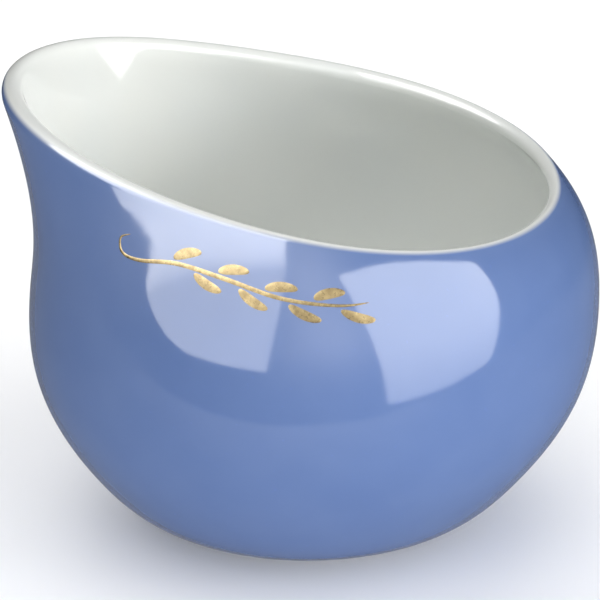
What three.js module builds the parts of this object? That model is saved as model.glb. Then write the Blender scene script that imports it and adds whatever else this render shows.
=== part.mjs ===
// A shaving mug with no handle: one cast porcelain wall, three coats of glaze and a fired gold sprig.
// Its round belly leans out into one high lip, towards -X, and its flat mouth slopes down to the low side.
// Millimetres, +Z up. It stands on z = 0, and its bounding box is centred on the z axis.
import * as THREE from "three";
import { NURBSCurve } from "three/addons/curves/NURBSCurve.js";

const { degToRad, lerp, smoothstep } = THREE.MathUtils;

// Driving dimensions.
const FOOT_HEIGHT = 1.5; // the standing ring holds the belly this far above the table
const FOOT_RADIUS = 22;
const FOOT_WIDTH = 3.5;
const FOOT_CHAMFER = 0.5;
const WALL = 3.8; // porcelain and both glazes, over the floor and the belly
const LIP_RADIUS = { low: 1.3, high: 1.9 }; // the lip is a full round, and thicker where it is high
const BLUE_EDGE_TILT = { low: 64, high: 40 }; // degrees; the blue ends where the lip's face tilts up this far
const GLAZE = 0.35;
const BARE_STRIP = 0.6; // left unglazed inside the standing ring

// The outside is one smooth surface, drawn by seven flat rings from the foot to the mouth. A ring is given by its
// radius towards the low side, across the mug and towards the lip, and its height at the low side and the lip.
const RINGS = [
  { low: 22.8, across: 22.8, lip: 22.8, lowHeight: FOOT_HEIGHT, lipHeight: FOOT_HEIGHT },
  { low: 31.5, across: 31.5, lip: 31.5, lowHeight: FOOT_HEIGHT, lipHeight: FOOT_HEIGHT },
  { low: 41.4, across: 41.4, lip: 41.4, lowHeight: 11.9, lipHeight: 11.9 },
  { low: 50.4, across: 50.2, lip: 50.1, lowHeight: 25.4, lipHeight: 27.5 },
  { low: 52.7, across: 53.1, lip: 49.3, lowHeight: 41.6, lipHeight: 45.3 },
  { low: 50.6, across: 50.9, lip: 46.7, lowHeight: 56.5, lipHeight: 59.4 },
  { low: 43.5, across: 42.3, lip: 54.7, lowHeight: 62.6, lipHeight: 79.7, pinch: 1.9 },
];

// How finely the smooth surfaces are cut into faces.
const SEGMENTS = 40; // round the mug
const STATIONS = 16; // from the foot to the lip
const LIP_STEPS = { blue: 2, white: 4 }; // over the lip
const STROKE_STEPS = { stem: 40, leaf: 8 };

// The gold sprig lies on the outer glaze, below the mouth. Its drawing is flat, x along the mug and y up it, and
// is wrapped round the mug at SPRIG_ANGLE, where 0 is the low side and a quarter turn back from it the front.
const SPRIG_ANGLE = degToRad(-90);
const SPRIG_DEPTH_BELOW_MOUTH = 10.5;
const SPRIG_GAP = 0.12; // clears the flat faces of the glaze
const GOLD_THICKNESS = 0.2;
const STEM_WIDTH = 0.8;
const LEAF_LENGTH = 5.2;
const LEAF_WIDTH = 1.7;
const LEAF_ANGLE = degToRad(38);
const LEAF_GAP = 0.75; // from the middle of the stem to the root of a leaf
const LEAF_PAIRS = 4;
const STEM_POINTS = [
  [-19.5, 2.6],
  [-21.2, 1.4],
  [-20.4, -0.8],
  [-17.2, -1.0],
  [-10.5, 0.6],
  [-2.5, 0.4],
  [6, -0.6],
  [14, -0.2],
  [18.5, 0.9],
];
const FIRST_LEAF_AT = 0.32; // as a share of the stem's length
const LAST_LEAF_AT = 0.9;

// Finishes.
const bisque = { color: 0xe9e4d8, roughness: 0.7, metalness: 0 };
const blueGlaze = { color: 0x6d83c4, roughness: 0.12, metalness: 0 };
const whiteGlaze = { color: 0xeceee6, roughness: 0.12, metalness: 0 };
const gold = { color: 0xb99a45, roughness: 0.3, metalness: 1 };

// A ring's radius at an angle. The pinch draws an egg-shaped ring in beside its lip.
function ringRadius({ low, across, lip, pinch = 0 }, angle) {
  const mean = (low + lip + 2 * across) / 4;
  const shift = (low - lip) / 2 + pinch;
  const oval = (low + lip - 2 * across) / 4;
  return mean + shift * Math.cos(angle) + oval * Math.cos(2 * angle) - pinch * Math.cos(3 * angle);
}

// How far a ring has come from its low side to its lip at an angle, from 0 to 1.
function towardsLip(ring, angle) {
  return (ring.low - ringRadius(ring, angle) * Math.cos(angle)) / (ring.low + ring.lip);
}

function ringPoint(ring, angle) {
  const height = lerp(ring.lowHeight, ring.lipHeight, towardsLip(ring, angle));
  return new THREE.Vector4(ringRadius(ring, angle), height, 0, 1);
}

// The outline of the outside at an angle, as (radius, height), from the foot to the mouth.
function outlineAt(angle) {
  const degree = 3;
  const inner = RINGS.length - degree;
  const knots = [];
  for (let k = -degree; k <= inner + degree; k++) {
    knots.push(THREE.MathUtils.clamp(k / inner, 0, 1));
  }
  return new NURBSCurve(degree, knots, RINGS.map((ring) => ringPoint(ring, angle)));
}

// A point of an outline, with the directions along it and out of the wall.
function stationOn(outline, share) {
  const along = outline.getTangentAt(share);
  return {
    point: outline.getPointAt(share),
    along,
    out: new THREE.Vector3(along.y, -along.x, 0),
  };
}

function atDepth(station, depth) {
  return station.point.clone().addScaledVector(station.out, -depth);
}

// The wall's section at an angle. Each line of it is a list of (radius, height) points.
function wallSection(angle) {
  const outline = outlineAt(angle);
  const lipShare = towardsLip(RINGS.at(-1), angle);
  const lipRadius = lerp(LIP_RADIUS.low, LIP_RADIUS.high, lipShare);
  const lipStart = 1 - lipRadius / outline.getLength();
  const stations = [];
  for (let k = 0; k <= STATIONS; k++) {
    const share = k / STATIONS;
    const station = stationOn(outline, share * lipStart);
    station.thickness = lerp(WALL, 2 * lipRadius, smoothstep(share, 0.5, 1));
    stations.push(station);
  }
  const last = stations[STATIONS];
  const lipCentre = atDepth(last, lipRadius);
  const blueEdgeTilt = degToRad(lerp(BLUE_EDGE_TILT.low, BLUE_EDGE_TILT.high, lipShare));
  const blueEdge = blueEdgeTilt - Math.atan2(last.out.y, last.out.x);

  // Points round the lip, from one turn out of the wall's face to another.
  const lipRound = (radius, from, to, steps) => {
    const points = [];
    for (let k = 0; k <= steps; k++) {
      const turn = lerp(from, to, k / steps);
      const point = lipCentre.clone();
      point.addScaledVector(last.out, radius * Math.cos(turn));
      point.addScaledVector(last.along, radius * Math.sin(turn));
      points.push(point);
    }
    return points;
  };

  return {
    outerFace: stations.map((s) => atDepth(s, 0)),
    bodyOutside: stations.map((s) => atDepth(s, GLAZE)),
    bodyInside: stations.map((s) => atDepth(s, s.thickness - GLAZE)).reverse(),
    bowlFace: stations.map((s) => atDepth(s, s.thickness)).reverse(),
    bodyLipUnderBlue: lipRound(lipRadius - GLAZE, 0, blueEdge, LIP_STEPS.blue).slice(1),
    bodyLipUnderWhite: lipRound(lipRadius - GLAZE, blueEdge, Math.PI, LIP_STEPS.white).slice(0, -1),
    blueLip: lipRound(lipRadius, 0, blueEdge, LIP_STEPS.blue).slice(1),
    whiteLip: lipRound(lipRadius, blueEdge, Math.PI, LIP_STEPS.white).slice(0, -1),
  };
}

const flatPoints = (pairs) => pairs.map(([radius, height]) => new THREE.Vector3(radius, height, 0));

// A surface through a grid of points. Faces that shrink to a line are left out, so lines may share a point.
function surfaceThrough(rows, { closeRows, closePoints }) {
  const positions = [];
  const addFace = (...corners) => {
    const [a, b, c] = corners;
    if (a.equals(b) || b.equals(c) || c.equals(a)) return;
    corners.forEach((corner) => positions.push(...corner.toArray()));
  };
  const lastRow = closeRows ? rows.length : rows.length - 1;
  const lastPoint = closePoints ? rows[0].length : rows[0].length - 1;
  for (let i = 0; i < lastRow; i++) {
    const row = rows[i];
    const next = rows[(i + 1) % rows.length];
    for (let j = 0; j < lastPoint; j++) {
      const k = (j + 1) % row.length;
      const [a, b, c, d] = [row[j], next[j], next[k], row[k]];
      // The shorter diagonal, so that two layers cut their common face alike.
      if (a.distanceTo(c) < b.distanceTo(d)) {
        addFace(a, b, c);
        addFace(a, c, d);
      } else {
        addFace(a, b, d);
        addFace(b, c, d);
      }
    }
  }
  const geometry = new THREE.BufferGeometry();
  geometry.setAttribute("position", new THREE.Float32BufferAttribute(positions, 3));
  geometry.computeVertexNormals();
  return geometry;
}

function solid(name, geometry, finish) {
  const mesh = new THREE.Mesh(geometry, new THREE.MeshStandardMaterial(finish));
  mesh.name = name;
  return mesh;
}

const angles = Array.from({ length: SEGMENTS }, (_, i) => (2 * Math.PI * i) / SEGMENTS);
const sections = angles.map(wallSection);

// A layer of the mug, from the outline that outlineOf picks out of each section, anticlockwise.
function layer(name, outlineOf, finish, { closed = false } = {}) {
  const rows = sections.map((section, i) =>
    outlineOf(section).map(
      (p) => new THREE.Vector3(p.x * Math.cos(angles[i]), p.x * Math.sin(angles[i]), p.y),
    ),
  );
  return solid(name, surfaceThrough(rows, { closeRows: true, closePoints: closed }), finish);
}

const RECESS_RADIUS = FOOT_RADIUS - FOOT_WIDTH;
const BASE_HEIGHT = FOOT_HEIGHT + GLAZE; // the underside of the bare porcelain

const porcelainBody = layer(
  "porcelain_body",
  (section) => [
    ...flatPoints([
      [0, BASE_HEIGHT],
      [RECESS_RADIUS - BARE_STRIP, BASE_HEIGHT],
      [RECESS_RADIUS, BASE_HEIGHT],
      [RECESS_RADIUS, FOOT_CHAMFER],
      [RECESS_RADIUS + FOOT_CHAMFER, 0],
      [FOOT_RADIUS - FOOT_CHAMFER, 0],
      [FOOT_RADIUS, FOOT_CHAMFER],
      [FOOT_RADIUS, BASE_HEIGHT],
    ]),
    ...section.bodyOutside,
    ...section.bodyLipUnderBlue,
    ...section.bodyLipUnderWhite.slice(1),
    ...section.bodyInside,
    ...flatPoints([[0, FOOT_HEIGHT + WALL - GLAZE]]),
  ],
  bisque,
);

const blueOuterGlaze = layer(
  "blue_outer_glaze",
  (section) => [
    ...section.outerFace,
    ...section.blueLip,
    ...section.bodyLipUnderBlue.toReversed(),
    ...section.bodyOutside.toReversed(),
  ],
  blueGlaze,
  { closed: true },
);

const whiteInnerGlaze = layer(
  "white_inner_glaze",
  (section) => [
    ...flatPoints([[0, FOOT_HEIGHT + WALL - GLAZE]]),
    ...section.bodyInside.toReversed(),
    ...section.bodyLipUnderWhite.toReversed(),
    ...section.whiteLip,
    ...section.bowlFace,
    ...flatPoints([[0, FOOT_HEIGHT + WALL]]),
  ],
  whiteGlaze,
);

const blueBaseGlaze = layer(
  "blue_base_glaze",
  () =>
    flatPoints([
      [0, FOOT_HEIGHT],
      [RECESS_RADIUS - BARE_STRIP, FOOT_HEIGHT],
      [RECESS_RADIUS - BARE_STRIP, BASE_HEIGHT],
      [0, BASE_HEIGHT],
    ]),
  blueGlaze,
);

// A point of the sprig's flat drawing, wrapped on the mug at a height above the outer glaze.
function onGlaze(x, y, height) {
  const front = outlineAt(SPRIG_ANGLE).getPointAt(1).x;
  const angle = SPRIG_ANGLE + x / front;
  const outline = outlineAt(angle);
  const share = 1 - (SPRIG_DEPTH_BELOW_MOUTH - y) / outline.getLength();
  const p = atDepth(stationOn(outline, share), -height);
  return new THREE.Vector3(p.x * Math.cos(angle), p.x * Math.sin(angle), p.y);
}

// A flat stroke of gold along a path, as wide as width at its middle and pointed at both ends.
function goldStroke(name, path, width, steps) {
  const rows = path.getSpacedPoints(steps).map((point, i) => {
    const share = i / steps;
    const along = path.getTangentAt(share);
    const side = new THREE.Vector2(-along.y, along.x);
    side.multiplyScalar((width / 2) * Math.sqrt(4 * share * (1 - share)));
    const right = point.clone().sub(side);
    const left = point.clone().add(side);
    return [
      onGlaze(right.x, right.y, SPRIG_GAP),
      onGlaze(right.x, right.y, SPRIG_GAP + GOLD_THICKNESS),
      onGlaze(left.x, left.y, SPRIG_GAP + GOLD_THICKNESS),
      onGlaze(left.x, left.y, SPRIG_GAP),
    ];
  });
  return solid(name, surfaceThrough(rows, { closeRows: false, closePoints: true }), gold);
}

// A leaf springs from beside the stem, side +1 above it or -1 below, and bends back towards the stem's line.
function leafPath(stem, share, side) {
  const root = stem.getPointAt(share);
  const along = stem.getTangentAt(share);
  const across = new THREE.Vector2(-along.y, along.x).multiplyScalar(side);
  const start = root.clone().addScaledVector(across, LEAF_GAP);
  const bend = along.clone().multiplyScalar(LEAF_LENGTH / 2);
  bend.rotateAround(new THREE.Vector2(), side * LEAF_ANGLE);
  const end = start.clone().add(bend).addScaledVector(along, LEAF_LENGTH / 2);
  return new THREE.QuadraticBezierCurve(start, start.clone().add(bend), end);
}

const stemPath = new THREE.SplineCurve(STEM_POINTS.map(([x, y]) => new THREE.Vector2(x, y)));
const sprig = new THREE.Group();
sprig.add(goldStroke("gold_stem", stemPath, STEM_WIDTH, STROKE_STEPS.stem));
for (let k = 0; k < 2 * LEAF_PAIRS; k++) {
  const share = lerp(FIRST_LEAF_AT, LAST_LEAF_AT, k / (2 * LEAF_PAIRS - 1));
  const path = leafPath(stemPath, share, k % 2 ? -1 : 1);
  sprig.add(goldStroke(`gold_leaf_${k + 1}`, path, LEAF_WIDTH, STROKE_STEPS.leaf));
}

const mug = new THREE.Group();
mug.add(porcelainBody, blueOuterGlaze, whiteInnerGlaze, blueBaseGlaze, sprig);
const bounds = new THREE.Box3().setFromObject(mug);
mug.position.x = -(bounds.min.x + bounds.max.x) / 2;

export default mug;
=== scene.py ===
"""A glazed porcelain shaving mug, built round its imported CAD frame, on a pale floor in soft studio light.

The mug repeats the CAD's seven rings and its sprig, cut far finer, and rounds the edges that the CAD leaves
flat. Shapes are worked out in millimetres about the axis of the foot, and go into the scene in metres.
+Z is up, the high lip points to -X, and the camera stands on the -Y side.
"""

import math

import bmesh
import bpy
import numpy as np
from mathutils import Matrix, Vector


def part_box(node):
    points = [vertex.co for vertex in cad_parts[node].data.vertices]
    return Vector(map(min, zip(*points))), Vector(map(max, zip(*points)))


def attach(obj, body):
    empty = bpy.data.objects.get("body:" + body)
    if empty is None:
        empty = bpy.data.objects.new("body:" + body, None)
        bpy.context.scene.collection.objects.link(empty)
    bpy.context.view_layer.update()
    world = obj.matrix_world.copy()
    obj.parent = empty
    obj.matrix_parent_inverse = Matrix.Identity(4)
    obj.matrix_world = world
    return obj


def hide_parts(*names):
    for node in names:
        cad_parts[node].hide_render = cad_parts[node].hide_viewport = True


MM = 0.001

# The mug's dimensions, in millimetres, as in the CAD.
FOOT_HEIGHT = 1.5  # the standing ring holds the belly this far above the table
FOOT_RADIUS = 22
FOOT_WIDTH = 3.5
FOOT_ROUNDING = 0.5
WALL = 3.8  # porcelain and both glazes, over the floor and the belly
LIP_RADIUS_LOW = 1.3  # the lip is a full round, and thicker where it is high
LIP_RADIUS_HIGH = 1.9
BLUE_EDGE_TILT_LOW = math.radians(64)  # the blue ends where the lip's face tilts up this far
BLUE_EDGE_TILT_HIGH = math.radians(40)
GLAZE = 0.35
BARE_STRIP = 0.6  # left unglazed inside the standing ring
RECESS_RADIUS = FOOT_RADIUS - FOOT_WIDTH
RECESS_ROOF = FOOT_HEIGHT + GLAZE  # the porcelain over the recess, which the base glaze hangs under
RECESS_SAG = GLAZE / 4  # the roof comes down this far beside the ring
BOWL_FLOOR = FOOT_HEIGHT + WALL

# Rings of the outside, from the foot to the mouth. Each has its radius towards the low side, across the mug
# and towards the lip, its height at the low side and at the lip, and how far it is pinched in beside its lip.
RINGS = [
    (22.8, 22.8, 22.8, FOOT_HEIGHT, FOOT_HEIGHT, 0),
    (31.5, 31.5, 31.5, FOOT_HEIGHT, FOOT_HEIGHT, 0),
    (41.4, 41.4, 41.4, 11.9, 11.9, 0),
    (50.4, 50.2, 50.1, 25.4, 27.5, 0),
    (52.7, 53.1, 49.3, 41.6, 45.3, 0),
    (50.6, 50.9, 46.7, 56.5, 59.4, 0),
    (43.5, 42.3, 54.7, 62.6, 79.7, 1.9),
]
MOUTH = RINGS[-1]
DEGREE = 3
KNOTS = np.clip(np.arange(-DEGREE, len(RINGS) + 1) / (len(RINGS) - DEGREE), 0, 1)

# How finely the surfaces are cut.
SEGMENTS = 192  # round the mug
STATIONS = 88  # from the foot to the lip
LIP_STEPS = 8  # over the blue part of the lip, and twice that over the white
ROUNDING_STEPS = 6
ARC_SAMPLES = 400
ANGLES = 2 * math.pi * np.arange(SEGMENTS) / SEGMENTS

# Where two faces meet at more than this, the edge is a corner and not part of a round.
SHARPEST_ROUND = math.radians(40)
MERGE_DISTANCE = 1e-7  # in metres

# The outer glaze ends above the foot in a rolled edge, this long.
ROLL = 1.2

# The gold sprig, as in the CAD. Its drawing is flat, x along the mug and y up it.
SPRIG_ANGLE = -math.pi / 2
SPRIG_DEPTH_BELOW_MOUTH = 10.5
STEM_WIDTH = 0.8
LEAF_LENGTH = 5.2
LEAF_WIDTH = 1.7
LEAF_ANGLE = math.radians(38)
LEAF_GAP = 0.75  # from the middle of the stem to the root of a leaf
LEAF_PAIRS = 4
FIRST_LEAF_AT = 0.32  # as a share of the stem's length
LAST_LEAF_AT = 0.9
STEM_POINTS = [
    (-19.5, 2.6),
    (-21.2, 1.4),
    (-20.4, -0.8),
    (-17.2, -1.0),
    (-10.5, 0.6),
    (-2.5, 0.4),
    (6, -0.6),
    (14, -0.2),
    (18.5, 0.9),
]

# The gold is a thin domed film: where it crests above the glaze, and how deep it is rooted in it.
GOLD_CREST = 0.045
GOLD_ROOT = -0.1
GOLD_DOME = [(-1, 0), (-0.8, 0.45), (-0.4, 0.85), (0, 1), (0.4, 0.85), (0.8, 0.45), (1, 0)]
STEM_STEPS = 160
LEAF_STEPS = 40
STEM_SPAN_SAMPLES = 40
LEAF_SAMPLES = 60
TANGENT_REACH = 0.002  # as a share of a curve's length

# The camera, by the direction that it looks from.
CAMERA_AZIMUTH = 13.16
CAMERA_ELEVATION = 22.22
CAMERA_DISTANCE = 0.649
CAMERA_TARGET = Vector((0, -0.0009, 0.0400))
FOCAL_LENGTH_MM = 218.6


# ---------------------------------------------------------------- the outline of the mug


def spline_weights(at, degree, knots):
    """The weight of each control point of a B-spline at each parameter: a row for each parameter."""
    at = np.asarray(at, float)[:, None]
    if degree == 0:
        closing = (knots[1:] == knots[-1]) & (at == knots[-1])
        return (((knots[:-1] <= at) & (at < knots[1:])) | closing) & (knots[:-1] < knots[1:])
    lower = spline_weights(at[:, 0], degree - 1, knots)
    rise = knots[degree:-1] - knots[: -degree - 1]
    fall = knots[degree + 1 :] - knots[1:-degree]
    up = (at - knots[: -degree - 1]) / np.where(rise > 0, rise, 1) * (rise > 0)
    down = (knots[degree + 1 :] - at) / np.where(fall > 0, fall, 1) * (fall > 0)
    return up * lower[:, :-1] + down * lower[:, 1:]


SAMPLES = np.linspace(0, 1, ARC_SAMPLES + 1)
SAMPLE_WEIGHTS = spline_weights(SAMPLES, DEGREE, KNOTS)


def lerp(low, high, share):
    return low + (high - low) * share


def smoothstep(x, low, high):
    x = np.clip((x - low) / (high - low), 0, 1)
    return x * x * (3 - 2 * x)


def ring_radius(ring, angle):
    low, across, lip, _, _, pinch = ring
    mean = (low + lip + 2 * across) / 4
    shift = (low - lip) / 2 + pinch
    oval = (low + lip - 2 * across) / 4
    return mean + shift * math.cos(angle) + oval * math.cos(2 * angle) - pinch * math.cos(3 * angle)


def towards_lip(ring, angle):
    """How far a ring has come from its low side to its lip at an angle, from 0 to 1."""
    low, _, lip, _, _, _ = ring
    return (low - ring_radius(ring, angle) * math.cos(angle)) / (low + lip)


def ring_point(ring, angle):
    _, _, _, low_height, lip_height, _ = ring
    return ring_radius(ring, angle), lerp(low_height, lip_height, towards_lip(ring, angle))


class Outline:
    """The outline of the outside at an angle, from the foot to the mouth, as (radius, height) points."""

    def __init__(self, angle):
        self.controls = np.array([ring_point(ring, angle) for ring in RINGS])
        points = SAMPLE_WEIGHTS @ self.controls
        steps = np.linalg.norm(np.diff(points, axis=0), axis=1)
        self.run = np.concatenate([[0], np.cumsum(steps)])
        self.length = self.run[-1]

    def at(self, distances):
        """Points at these distances from the foot, the directions along the outline and out of the wall."""
        at = np.interp(distances, self.run, SAMPLES)
        points = spline_weights(at, DEGREE, KNOTS) @ self.controls
        along = spline_weights(at, DEGREE - 1, KNOTS[1:-1]) @ self.slopes()
        along /= np.linalg.norm(along, axis=1)[:, None]
        return points, along, np.stack([along[:, 1], -along[:, 0]], axis=1)

    def slopes(self):
        """The control points of the outline's derivative."""
        spans = KNOTS[DEGREE + 1 : -1] - KNOTS[1 : -DEGREE - 1]
        return np.diff(self.controls, axis=0) / spans[:, None]


class Section:
    """The wall at an angle: the lines of (radius, height) points that the layers are made of."""

    def __init__(self, angle):
        outline = Outline(angle)
        lip_share = towards_lip(MOUTH, angle)
        self.lip_radius = lerp(LIP_RADIUS_LOW, LIP_RADIUS_HIGH, lip_share)
        share = np.linspace(0, 1, STATIONS + 1)
        distance = share * (outline.length - self.lip_radius)
        points, along, out = outline.at(distance)
        thickness = lerp(WALL, 2 * self.lip_radius, smoothstep(share, 0.5, 1))

        def at_depth(depth):
            return points - out * np.asarray(depth).reshape(-1, 1)

        self.under_glaze = at_depth(GLAZE)
        self.bowl_under_glaze = at_depth(thickness - GLAZE)[::-1]
        self.bowl = at_depth(thickness)[::-1]
        self.lip_centre = points[-1] - out[-1] * self.lip_radius
        self.out, self.along = out[-1], along[-1]

        # The glaze thins to nothing over its last stretch, down towards the foot.
        rolled = np.clip(distance / ROLL, 0, 1)
        self.blue_face = at_depth(GLAZE * (1 - np.sqrt(1 - (1 - rolled) ** 2)))

        # Places round the lip: the blue ends where the lip's own face tilts up by a given angle.
        tilt = lerp(BLUE_EDGE_TILT_LOW, BLUE_EDGE_TILT_HIGH, lip_share)
        edge = tilt - math.atan2(self.out[1], self.out[0])
        self.blue_turns = np.linspace(0, edge, LIP_STEPS + 1)[1:]
        self.white_turns = np.linspace(edge, math.pi, 2 * LIP_STEPS + 1)[:-1]

        # How far each point of the blue, and of the white, is from that edge: below 0 on the white side.
        below_lip = distance[-1] - distance
        to_lip_start = self.lip_radius * edge
        to_lip_end = self.lip_radius * (edge - math.pi)
        self.blue_run = np.concatenate([below_lip + to_lip_start, self.lip_radius * (edge - self.blue_turns)])
        self.white_run = np.concatenate(
            [self.lip_radius * (edge - self.white_turns), to_lip_end - below_lip[::-1]]
        )

    def lip(self, depth, turns):
        """Points round the lip, at a depth in it."""
        turns = turns[:, None]
        directions = self.out * np.cos(turns) + self.along * np.sin(turns)
        return self.lip_centre + (self.lip_radius - depth) * directions


# ---------------------------------------------------------------- meshes


def arc(centre, radius, start, end):
    """A rounded corner in the (radius, height) plane, between two angles in degrees."""
    turn = np.radians(np.linspace(start, end, ROUNDING_STEPS + 1))
    return np.array(centre) + radius * np.stack([np.cos(turn), np.sin(turn)], axis=1)


def merge_ends(mesh):
    """Joins the points that meet on the axis or at the tip of a stroke, and drops the faces between them."""
    shape = bmesh.new()
    shape.from_mesh(mesh)
    bmesh.ops.remove_doubles(shape, verts=shape.verts, dist=MERGE_DISTANCE)
    bmesh.ops.recalc_face_normals(shape, faces=shape.faces)
    shape.to_mesh(mesh)
    shape.free()


def finished(name, vertices, faces, axis, material, slot, replaced, from_edge=None):
    """A smooth-shaded piece of the mug, placed about the foot's axis, riding on the mug's one body."""
    mesh = bpy.data.meshes.new(name)
    mesh.from_pydata((vertices * MM + axis).tolist(), [], faces)
    if from_edge is not None:
        mesh.attributes.new("from_edge", "FLOAT", "POINT").data.foreach_set("value", from_edge)
    merge_ends(mesh)
    mesh.polygons.foreach_set("use_smooth", [True] * len(mesh.polygons))
    mesh.set_sharp_from_angle(angle=SHARPEST_ROUND)
    mesh.materials.append(material)
    piece = bpy.data.objects.new(name, mesh)
    bpy.context.scene.collection.objects.link(piece)
    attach(piece, "root")
    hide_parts(replaced)
    return piece


def grid_faces(rows, points, close_rows, close_points):
    """The faces between neighbouring rows of points, where a closed direction runs round to its start."""
    faces = []
    for i in range(rows if close_rows else rows - 1):
        row = i * points
        next_row = (i + 1) % rows * points
        for j in range(points if close_points else points - 1):
            k = (j + 1) % points
            faces.append((row + j, next_row + j, next_row + k, row + k))
    return faces


def layer(name, outlines, closed=False, **finish):
    """A layer of the mug, from one line of (radius, height) points for each angle."""
    outlines = np.array(outlines)
    turn = ANGLES[:, None]
    radius, height = outlines[..., 0], outlines[..., 1]
    vertices = np.stack([radius * np.cos(turn), radius * np.sin(turn), height], axis=-1)
    faces = grid_faces(*radius.shape, close_rows=True, close_points=closed)
    return finished(name, vertices.reshape(-1, 3), faces, **finish)


# ---------------------------------------------------------------- the layers of the mug


def build_porcelain(sections, axis, material):
    """The cast body, from the middle of the recess round the foot and the lip to the middle of the bowl."""
    foot = np.concatenate(
        [
            [(0, RECESS_ROOF), (RECESS_RADIUS - BARE_STRIP, RECESS_ROOF)],
            [(RECESS_RADIUS, RECESS_ROOF - RECESS_SAG)],
            arc((RECESS_RADIUS + FOOT_ROUNDING, FOOT_ROUNDING), FOOT_ROUNDING, 180, 270),
            arc((FOOT_RADIUS - FOOT_ROUNDING, FOOT_ROUNDING), FOOT_ROUNDING, 270, 360),
            [(FOOT_RADIUS, RECESS_ROOF)],
        ]
    )
    outlines = []
    for section in sections:
        over_lip = np.concatenate([section.blue_turns, section.white_turns[1:]])
        outside = [foot, section.under_glaze, section.lip(GLAZE, over_lip)]
        inside = [section.bowl_under_glaze, [(0, BOWL_FLOOR - GLAZE)]]
        outlines.append(np.concatenate(outside + inside))
    layer(
        "cast_porcelain",
        outlines,
        axis=axis,
        material=material,
        slot="bisque_porcelain",
        replaced="porcelain_body",
    )


def build_outer_glaze(sections, axis, material):
    """The blue coat, up its face and over the lip to its edge, and back down the porcelain."""
    outlines = []
    from_edge = []
    for section in sections:
        face = [section.blue_face, section.lip(0, section.blue_turns)]
        back = [section.lip(GLAZE, section.blue_turns)[::-1], section.under_glaze[::-1]]
        outlines.append(np.concatenate(face + back))
        from_edge.append(np.concatenate([section.blue_run, section.blue_run[::-1]]))
    layer(
        "outer_glaze",
        outlines,
        closed=True,
        axis=axis,
        material=material,
        slot="blue_glaze",
        replaced="blue_outer_glaze",
        from_edge=np.concatenate(from_edge),
    )


def build_inner_glaze(sections, axis, material):
    """The white coat, from the middle of the bowl up the porcelain, over the lip and down its own face."""
    outlines = []
    from_edge = []
    for section in sections:
        back = [[(0, BOWL_FLOOR - GLAZE)], section.bowl_under_glaze[::-1]]
        back.append(section.lip(GLAZE, section.white_turns)[::-1])
        face = [section.lip(0, section.white_turns), section.bowl, [(0, BOWL_FLOOR)]]
        outlines.append(np.concatenate(back + face))
        run = section.white_run
        from_edge.append(np.concatenate([run[-1:], run[::-1], run, run[-1:]]))
    layer(
        "inner_glaze",
        outlines,
        axis=axis,
        material=material,
        slot="white_glaze",
        replaced="white_inner_glaze",
        from_edge=np.concatenate(from_edge),
    )


def build_base_glaze(axis, material):
    """The blue coat of the recess, with a rolled edge just inside the standing ring."""
    edge = RECESS_RADIUS - BARE_STRIP
    outline = np.concatenate(
        [
            [(0, FOOT_HEIGHT)],
            arc((edge - GLAZE, RECESS_ROOF), GLAZE, 270, 360),
            [(0, RECESS_ROOF)],
        ]
    )
    layer(
        "base_glaze",
        [outline] * SEGMENTS,
        axis=axis,
        material=material,
        slot="blue_glaze",
        replaced="blue_base_glaze",
        from_edge=np.full(len(outline) * SEGMENTS, FAR_FROM_EDGE_MM),
    )


# ---------------------------------------------------------------- the gold sprig


def on_glaze(x, y, height):
    """A point of the sprig's flat drawing, wrapped on the mug at a height above the outer glaze."""
    angle = SPRIG_ANGLE + x / ring_radius(MOUTH, SPRIG_ANGLE)
    outline = Outline(angle)
    point, _, out = outline.at([outline.length - SPRIG_DEPTH_BELOW_MOUTH + y])
    radius, z = point[0] + out[0] * height
    return radius * math.cos(angle), radius * math.sin(angle), z


class Curve:
    """A smooth flat curve through points, read by the share of its length."""

    def __init__(self, points):
        self.points = np.array(points)
        self.run = np.concatenate([[0], np.cumsum(np.linalg.norm(np.diff(self.points, axis=0), axis=1))])

    def at(self, share):
        at = share * self.run[-1]
        return np.array([np.interp(at, self.run, self.points[:, k]) for k in range(2)])

    def along(self, share):
        ahead = self.at(min(share + TANGENT_REACH, 1)) - self.at(max(share - TANGENT_REACH, 0))
        return ahead / np.linalg.norm(ahead)


def stem_curve():
    """A Catmull-Rom curve through the stem's points."""
    points = np.array(STEM_POINTS)
    padded = np.concatenate([points[:1], points, points[-1:]])
    dense = []
    for i in range(len(points) - 1):
        before, start, end, after = padded[i : i + 4]
        leaving, arriving = (end - before) / 2, (after - start) / 2
        cubic = 2 * start - 2 * end + leaving + arriving
        square = -3 * start + 3 * end - 2 * leaving - arriving
        for t in np.linspace(0, 1, STEM_SPAN_SAMPLES, endpoint=False):
            dense.append(cubic * t**3 + square * t**2 + leaving * t + start)
    return Curve(dense + [points[-1]])


def leaf_curve(stem, share, side):
    """The middle line of a leaf, which leaves the stem at an angle and bends to run along it."""
    along = stem.along(share)
    across = np.array([-along[1], along[0]]) * side
    start = stem.at(share) + across * LEAF_GAP
    cos, sin = math.cos(side * LEAF_ANGLE), math.sin(side * LEAF_ANGLE)
    leaning = np.array([along[0] * cos - along[1] * sin, along[0] * sin + along[1] * cos])
    bend = start + leaning * LEAF_LENGTH / 2
    end = bend + along * LEAF_LENGTH / 2
    t = np.linspace(0, 1, LEAF_SAMPLES)[:, None]
    return Curve(start * (1 - t) ** 2 + bend * 2 * t * (1 - t) + end * t**2)


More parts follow.
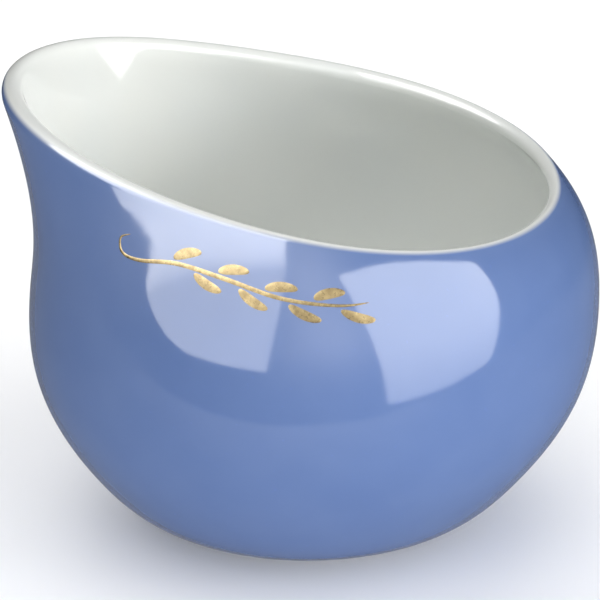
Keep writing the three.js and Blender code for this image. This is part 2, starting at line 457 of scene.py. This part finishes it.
def gold_stroke(name, curve, width, steps, replaced, axis, material):
    """A line of gold along a curve, widest at its middle, domed across and pointed at both ends."""
    rows = []
    for i in range(steps + 1):
        share = i / steps
        fullness = 2 * math.sqrt(share * (1 - share))
        crest = GOLD_CREST * min(1, 2 * fullness)
        point, along = curve.at(share), curve.along(share)
        side = np.array([-along[1], along[0]]) * width / 2 * fullness
        row = [on_glaze(*(point + side * x), crest * height) for x, height in GOLD_DOME]
        row += [on_glaze(*(point + side * x), GOLD_ROOT) for x, _ in reversed(GOLD_DOME)]
        rows.append(row)
    vertices = np.array(rows)
    faces = grid_faces(*vertices.shape[:2], close_rows=False, close_points=True)
    return finished(name, vertices.reshape(-1, 3), faces, axis, material, "fired_gold", replaced)


def build_sprig(axis, material):
    stem = stem_curve()
    gold_stroke("sprig_stem", stem, STEM_WIDTH, STEM_STEPS, "gold_stem", axis, material)
    leaves = 2 * LEAF_PAIRS
    for k in range(leaves):
        share = lerp(FIRST_LEAF_AT, LAST_LEAF_AT, k / (leaves - 1))
        curve = leaf_curve(stem, share, -1 if k % 2 else 1)
        name, replaced = f"sprig_leaf_{k + 1}", f"gold_leaf_{k + 1}"
        gold_stroke(name, curve, LEAF_WIDTH, LEAF_STEPS, replaced, axis, material)


# ---------------------------------------------------------------- materials

# Colours of the finishes.
BLUE = (0.095, 0.150, 0.315, 1)
BLUE_DEEP = (0.089, 0.142, 0.305, 1)
BLUE_PALE = (0.115, 0.171, 0.338, 1)
BLUE_SPECK = (0.10, 0.16, 0.42, 1)
WHITE = (0.725, 0.742, 0.72, 1)
WHITE_WARM = (0.74, 0.75, 0.715, 1)
WHITE_COOL = (0.71, 0.735, 0.72, 1)
WHITE_SPECK = (0.70, 0.70, 0.66, 1)
BISQUE_DARK = (0.72, 0.69, 0.62, 1)
BISQUE_LIGHT = (0.82, 0.80, 0.74, 1)
GOLD_DARK = (0.105, 0.075, 0.030, 1)
GOLD_LIGHT = (0.19, 0.145, 0.066, 1)

# The glazes: how glossy they are, and where the blue meets the white and thins out towards it.
GLAZE_ROUGHNESS = 0.08
GLOSS_DRIFT = 0.02
EDGE_SOFTNESS_MM = 0.6
THIN_BLUE_MM = 3
THIN_BLUE_SHARE = 0.35
FAR_FROM_EDGE_MM = 50.0

# Specks show where their noise is over the first value, and fully over the second.
SPECK_FROM = 0.66
SPECK_FULL = 0.74
SPECK_STRENGTH = 0.35

GOLD_ROUGHNESS = 0.3
GOLD_SHEEN_DRIFT = 0.06

# Sizes and depths of what shows in the finishes, in metres.
COLOUR_DRIFT_SIZE = 0.018
SPECK_SIZE = 0.0009
RIPPLE_SIZE = 0.006
RIPPLE_DEPTH = 0.00002
PEEL_SIZE = 0.0012
PEEL_DEPTH = 0.000002
BISQUE_GRAIN_SIZE = 0.0008
BISQUE_PORE_SIZE = 0.0003
GOLD_WEAR_SIZE = 0.0011
GOLD_SHEEN_SIZE = 0.0006
GOLD_GRAIN_SIZE = 0.0005
GRAIN_DEPTH = 0.00003


class Nodes:
    """A material with a Principled shader, and short ways to add nodes to it."""

    def __init__(self, name):
        self.material = bpy.data.materials.new(name)
        self.material.use_nodes = True
        self.tree = self.material.node_tree
        self.shader = self.tree.nodes["Principled BSDF"]

    def set(self, **values):
        for name, value in values.items():
            self.shader.inputs[name.replace("_", " ")].default_value = value

    def node(self, kind, links=None, **settings):
        node = self.tree.nodes.new(kind)
        for name, value in settings.items():
            setattr(node, name, value)
        for socket, source in (links or {}).items():
            if isinstance(source, bpy.types.NodeSocket):
                self.tree.links.new(source, node.inputs[socket])
            else:
                node.inputs[socket].default_value = source
        return node

    def noise(self, size, detail=2.0, roughness=0.5):
        """Noise with features of about this size in metres."""
        place = self.node("ShaderNodeTexCoord").outputs["Object"]
        links = {"Vector": place, "Scale": 1 / size, "Detail": detail, "Roughness": roughness}
        return self.node("ShaderNodeTexNoise", links).outputs["Fac"]

    def between(self, value, low, high, to_low=0, to_high=1, smooth=False):
        links = {0: value, 1: low, 2: high, 3: to_low, 4: to_high}
        kind = "SMOOTHSTEP" if smooth else "LINEAR"
        return self.node("ShaderNodeMapRange", links, interpolation_type=kind).outputs[0]

    def mix(self, share, first, second):
        links = {0: share, 6: first, 7: second}
        return self.node("ShaderNodeMix", links, data_type="RGBA").outputs[2]

    def from_edge(self):
        """How far a point of a glaze is from where the blue ends at the lip, in millimetres."""
        return self.node("ShaderNodeAttribute", attribute_name="from_edge").outputs["Fac"]

    def link(self, source, socket):
        self.tree.links.new(source, self.shader.inputs[socket])

    def bump(self, height, depth, normal=None):
        """A bump whose full height is this depth in metres."""
        links = {"Height": height, "Distance": depth, "Strength": 1.0}
        if normal:
            links["Normal"] = normal
        return self.node("ShaderNodeBump", links).outputs["Normal"]


def glaze_colour(nodes, base, pale, deep, speck):
    """A glaze's colour drifts with its thickness, and holds fine specks."""
    drift = nodes.between(nodes.noise(COLOUR_DRIFT_SIZE), 0.3, 0.7)
    colour = nodes.mix(0.5, nodes.mix(drift, deep, pale), base)
    speck_noise = nodes.noise(SPECK_SIZE, detail=3, roughness=0.6)
    specks = nodes.between(speck_noise, SPECK_FROM, SPECK_FULL, 0, SPECK_STRENGTH)
    return nodes.mix(specks, colour, speck)


def glossy(nodes, colour):
    """The finish that both glazes share: a slightly rippled gloss."""
    nodes.set(Roughness=GLAZE_ROUGHNESS, IOR=1.5)
    nodes.link(colour, "Base Color")
    glossiest, dullest = GLAZE_ROUGHNESS - GLOSS_DRIFT, GLAZE_ROUGHNESS + GLOSS_DRIFT
    nodes.link(nodes.between(nodes.noise(RIPPLE_SIZE), 0.3, 0.7, glossiest, dullest), "Roughness")
    ripple = nodes.bump(nodes.noise(RIPPLE_SIZE, detail=1), RIPPLE_DEPTH)
    nodes.link(nodes.bump(nodes.noise(PEEL_SIZE), PEEL_DEPTH, ripple), "Normal")
    return nodes.material


def edge_blend(nodes):
    """0 on the white side of the blue's edge and 1 on the blue side."""
    return nodes.between(nodes.from_edge(), -EDGE_SOFTNESS_MM, EDGE_SOFTNESS_MM, smooth=True)


def blue_glaze():
    nodes = Nodes("blue_glaze")
    colour = glaze_colour(nodes, BLUE, BLUE_PALE, BLUE_DEEP, BLUE_SPECK)
    thin = nodes.between(nodes.from_edge(), 0, THIN_BLUE_MM, THIN_BLUE_SHARE, 0, smooth=True)
    colour = nodes.mix(thin, colour, BLUE_PALE)
    return glossy(nodes, nodes.mix(edge_blend(nodes), WHITE, colour))


def white_glaze():
    nodes = Nodes("white_glaze")
    colour = glaze_colour(nodes, WHITE, WHITE_WARM, WHITE_COOL, WHITE_SPECK)
    return glossy(nodes, nodes.mix(edge_blend(nodes), colour, BLUE))


def bisque():
    nodes = Nodes("bisque_porcelain")
    nodes.set(Roughness=0.75, IOR=1.45)
    grain = nodes.between(nodes.noise(BISQUE_GRAIN_SIZE, detail=4, roughness=0.6), 0.35, 0.65)
    nodes.link(nodes.mix(grain, BISQUE_DARK, BISQUE_LIGHT), "Base Color")
    pores = nodes.noise(BISQUE_PORE_SIZE, detail=3, roughness=0.6)
    nodes.link(nodes.bump(pores, GRAIN_DEPTH), "Normal")
    return nodes.material


def fired_gold():
    nodes = Nodes("fired_gold")
    nodes.set(Metallic=0.6, Roughness=GOLD_ROUGHNESS)
    wear = nodes.between(nodes.noise(GOLD_WEAR_SIZE, detail=3, roughness=0.6), 0.35, 0.7)
    nodes.link(nodes.mix(wear, GOLD_DARK, GOLD_LIGHT), "Base Color")
    shiniest, dullest = GOLD_ROUGHNESS - GOLD_SHEEN_DRIFT, GOLD_ROUGHNESS + GOLD_SHEEN_DRIFT
    nodes.link(nodes.between(nodes.noise(GOLD_SHEEN_SIZE), 0.3, 0.7, shiniest, dullest), "Roughness")
    grain = nodes.noise(GOLD_GRAIN_SIZE, detail=3, roughness=0.6)
    nodes.link(nodes.bump(grain, GRAIN_DEPTH), "Normal")
    return nodes.material


# ---------------------------------------------------------------- the studio

# What the lamps and softboxes face, a little above the middle of the mug.
MIDDLE = Vector((0, 0, 0.045))

# The light that shades the mug: azimuth, elevation, size and power of each lamp, a metre away.
LAMPS = {
    "key": (62, 2, 0.55, 5.5),
    "side": (90, 5, 0.50, 5.8),
    "right_high": (90, 35, 0.80, 2.0),
    "front": (6, 0.3, 0.13, 5.4),
    "front_high": (-10, 35, 0.80, 1.8),
    "top": (20, 80, 0.90, 4.5),
    "back": (190, 35, 0.90, 4.2),
    "back_left": (-130, 30, 0.90, 3.6),
}

# The room, which only shows in reflections: azimuth, elevation, how narrow each glow is, and its strength.
ROOM_LEVEL = 0.02
ROOM_GLOWS = [
    (0, 90, 3, 0.4),
    (22, 12, 12, 2.8),
    (15, 42, 24, 2.6),
    (-70, 35, 8, 2.0),
    (-85, 65, 12, 5.0),
]

# The table that the mug's underside reflects, a sheet glowing with painted light: its outline, and how it
# dims away from its bright front.
TABLE_OUTLINE = [
    (-0.6, -0.135),
    (0.03, -0.104),
    (0.10, -0.086),
    (0.19, -0.036),
    (0.60, 0.33),
    (0.6, 0.8),
    (-0.6, 0.8),
]
TABLE_FRONT = Vector((0.06, -0.13))
TABLE_STRETCH = 3
# Painted light and shadow: bright at the table's front, and dimmer towards the mug as painted shadow of the
# mug on the table.
TABLE_LIGHT_AND_SHADOW_STOPS = [(0.035, 0.8), (0.07, 0.2), (0.25, 0.2), (0.45, 0.0)]
TABLE_HEIGHT = 0.0005  # just clear of the floor

FLOOR_SIZE = 6
FLOOR_COLOUR = (0.86, 0.86, 0.86, 1)
FLOOR_GLOW = 0.13
CORNER_STEPS = 12  # over a rounded corner of a softbox


def facing(azimuth, elevation):
    """The direction from the mug to what stands at this azimuth and elevation, in degrees."""
    a, e = math.radians(azimuth), math.radians(elevation)
    return Vector((math.sin(a) * math.cos(e), -math.cos(a) * math.cos(e), math.sin(e)))


def height_share(tree):
    """How far up a sheet's own height a point of it is, from 0 to 1."""
    split = tree.nodes.new("ShaderNodeSeparateXYZ")
    tree.links.new(tree.nodes.new("ShaderNodeTexCoord").outputs["Generated"], split.inputs[0])
    return split.outputs["Y"]


def distance_from_origin(tree):
    """How far a point of a sheet is from the sheet's own origin."""
    length = tree.nodes.new("ShaderNodeVectorMath")
    length.operation = "LENGTH"
    tree.links.new(tree.nodes.new("ShaderNodeTexCoord").outputs["Object"], length.inputs[0])
    return length.outputs["Value"]


def glowing(name, place, stops):
    """A light whose strength runs through stops of (place, strength)."""
    material = bpy.data.materials.new(name)
    material.use_nodes = True
    tree = material.node_tree
    tree.nodes.clear()
    brightest = max(strength for _, strength in stops)
    ramp = tree.nodes.new("ShaderNodeValToRGB")
    tree.links.new(place(tree), ramp.inputs["Fac"])
    elements = ramp.color_ramp.elements
    while len(elements) < len(stops):
        elements.new(1)
    for element, (position, strength) in zip(elements, stops):
        level = strength / brightest
        element.position = position
        element.color = (level, level, level, 1)
    emission = tree.nodes.new("ShaderNodeEmission")
    tree.links.new(ramp.outputs["Color"], emission.inputs["Color"])
    emission.inputs["Strength"].default_value = brightest
    output = tree.nodes.new("ShaderNodeOutputMaterial")
    tree.links.new(emission.outputs[0], output.inputs["Surface"])
    return material


def reflected(name, outline, material):
    """A flat glowing sheet that is only there to be seen in reflections."""
    mesh = bpy.data.meshes.new(name)
    mesh.from_pydata([(x, y, 0) for x, y in outline], [], [tuple(range(len(outline)))])
    mesh.materials.append(material)
    sheet = bpy.data.objects.new(name, mesh)
    bpy.context.scene.collection.objects.link(sheet)
    sheet.visible_camera = False
    sheet.visible_diffuse = False
    sheet.visible_shadow = False
    return sheet


def rounded(corners):
    """The outline through corners of (x, y, how far from the corner its rounding starts), in metres."""
    outline = []
    for before, corner, after in zip(corners[-1:] + corners[:-1], corners, corners[1:] + corners[:1]):
        tip = Vector(corner[:2])
        start = tip + (Vector(before[:2]) - tip).normalized() * corner[2]
        end = tip + (Vector(after[:2]) - tip).normalized() * corner[2]
        for step in range(CORNER_STEPS + 1):
            t = step / CORNER_STEPS
            outline.append(start * (1 - t) ** 2 + tip * 2 * t * (1 - t) + end * t**2)
    return outline


def softbox(name, stand, back, roll, corners, stops):
    """A softbox at stand, which is an azimuth, elevation and distance. Its back faces the direction back."""
    sheet = reflected(name, rounded(corners), glowing(name, height_share, stops))
    behind = facing(*back)
    right = Vector((0, 0, 1)).cross(behind).normalized()
    basis = Matrix((right, behind.cross(right), behind)).transposed()
    turned = (basis @ Matrix.Rotation(math.radians(roll), 3, "Z")).to_4x4()
    azimuth, elevation, distance = stand
    sheet.matrix_world = Matrix.Translation(MIDDLE + facing(azimuth, elevation) * distance) @ turned


def left_softbox():
    """A tall one with a notch in its left side, dimmer over its lowest third."""
    softbox(
        "softbox_left",
        stand=(-25, 17, 1.0),
        back=(-25, 17),
        roll=35,
        corners=[
            (0.032, -0.712, 0.03),
            (-0.602, -0.128, 0.33),
            (-0.519, 0.217, 0.06),
            (-0.243, 0.280, 0.05),
            (-0.790, 1.139, 0.45),
            (-0.057, 2.359, 0.90),
            (1.475, 1.287, 0.03),
        ],
        stops=[(0.0, 5.6), (0.316, 6.1), (0.345, 11.5), (0.37, 13.0), (1.0, 12.5)],
    )


def right_softbox():
    """A plain rectangular one, turned away from the mug and brighter towards its top."""
    softbox(
        "softbox_right",
        stand=(74, 3, 1.085),
        back=(42.8, 26.8),
        roll=7.5,
        corners=[
            (0.52, -0.685, 0.10),
            (0.52, 0.685, 0.08),
            (-0.64, 0.685, 0.04),
            (-0.64, -0.685, 0.06),
        ],
        stops=[(0.0, 3.8), (0.5, 6.8), (1.0, 8.4)],
    )


def lamp(name, azimuth, elevation, size, power):
    """A square lamp that faces the mug. It shades, and the softboxes are what is seen in reflections."""
    data = bpy.data.lights.new(name, "AREA")
    data.size = size
    data.energy = power
    light = bpy.data.objects.new(name, data)
    bpy.context.scene.collection.objects.link(light)
    behind = facing(azimuth, elevation)
    light.location = MIDDLE + behind
    light.rotation_euler = behind.to_track_quat("Z", "Y").to_euler()
    light.visible_camera = False
    light.visible_glossy = False


def math_node(tree, operation, *values):
    node = tree.nodes.new("ShaderNodeMath")
    node.operation = operation
    for socket, value in zip(node.inputs, values):
        if isinstance(value, bpy.types.NodeSocket):
            tree.links.new(value, socket)
        else:
            socket.default_value = value
    return node.outputs[0]


def room():
    """A room with soft glows in it, as light on its walls makes them. The glaze reflects it."""
    world = bpy.data.worlds.new("room")
    world.use_nodes = True
    tree = world.node_tree
    tree.nodes.clear()
    direction = tree.nodes.new("ShaderNodeTexCoord").outputs["Generated"]
    strength = ROOM_LEVEL
    for azimuth, elevation, narrowness, peak in ROOM_GLOWS:
        towards = tree.nodes.new("ShaderNodeVectorMath")
        towards.operation = "DOT_PRODUCT"
        tree.links.new(direction, towards.inputs[0])
        towards.inputs[1].default_value = facing(azimuth, elevation)
        in_front = math_node(tree, "MAXIMUM", towards.outputs["Value"], 0.0)
        lobe = math_node(tree, "POWER", in_front, narrowness)
        strength = math_node(tree, "MULTIPLY_ADD", lobe, peak, strength)
    light = tree.nodes.new("ShaderNodeBackground")
    light.inputs["Color"].default_value = (1, 1, 1, 1)
    tree.links.new(strength, light.inputs["Strength"])
    output = tree.nodes.new("ShaderNodeOutputWorld")
    tree.links.new(light.outputs[0], output.inputs["Surface"])
    bpy.context.scene.world = world
    world.cycles_visibility.diffuse = False


def floor():
    bpy.ops.mesh.primitive_plane_add(size=FLOOR_SIZE, location=(0, 0, 0))
    sheet = bpy.context.object
    sheet.name = "floor"
    nodes = Nodes("pale_floor")
    nodes.set(Base_Color=FLOOR_COLOUR, Roughness=0.8)
    nodes.set(Emission_Color=(1, 1, 1, 1), Emission_Strength=FLOOR_GLOW)
    sheet.data.materials.append(nodes.material)
    sheet.visible_glossy = False


def table():
    """The table top as the glaze reflects it, a sheet glowing with painted light and painted shadow. What the
    camera sees is the floor.
    """
    corners = [Vector(corner) - TABLE_FRONT for corner in TABLE_OUTLINE]
    outline = [(x / TABLE_STRETCH, y) for x, y in corners]
    sheet = reflected("table", outline, glowing("table", distance_from_origin, TABLE_LIGHT_AND_SHADOW_STOPS))
    sheet.location = (*TABLE_FRONT, TABLE_HEIGHT)
    sheet.scale.x = TABLE_STRETCH


def camera():
    data = bpy.data.cameras.new("camera")
    data.lens = FOCAL_LENGTH_MM
    eye = bpy.data.objects.new("camera", data)
    bpy.context.scene.collection.objects.link(eye)
    back = facing(CAMERA_AZIMUTH, CAMERA_ELEVATION)
    eye.location = CAMERA_TARGET + back * CAMERA_DISTANCE
    eye.rotation_euler = (-back).to_track_quat("-Z", "Y").to_euler()
    bpy.context.scene.camera = eye


# ---------------------------------------------------------------- the scene

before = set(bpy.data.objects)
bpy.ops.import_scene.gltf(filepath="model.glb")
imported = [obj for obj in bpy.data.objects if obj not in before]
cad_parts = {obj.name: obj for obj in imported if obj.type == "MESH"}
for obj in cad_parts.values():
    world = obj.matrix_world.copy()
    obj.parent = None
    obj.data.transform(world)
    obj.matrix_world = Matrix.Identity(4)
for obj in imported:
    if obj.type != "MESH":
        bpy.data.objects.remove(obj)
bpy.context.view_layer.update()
low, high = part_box("blue_base_glaze")
foot_axis = np.array([(low.x + high.x) / 2, (low.y + high.y) / 2, 0])

sections = [Section(angle) for angle in ANGLES]
blue = blue_glaze()
build_porcelain(sections, foot_axis, bisque())
build_outer_glaze(sections, foot_axis, blue)
build_inner_glaze(sections, foot_axis, white_glaze())
build_base_glaze(foot_axis, blue)
build_sprig(foot_axis, fired_gold())

camera()
left_softbox()
right_softbox()
for name, settings in LAMPS.items():
    lamp(name, *settings)
floor()
table()
room()
bpy.context.scene.view_settings.view_transform = "Standard"
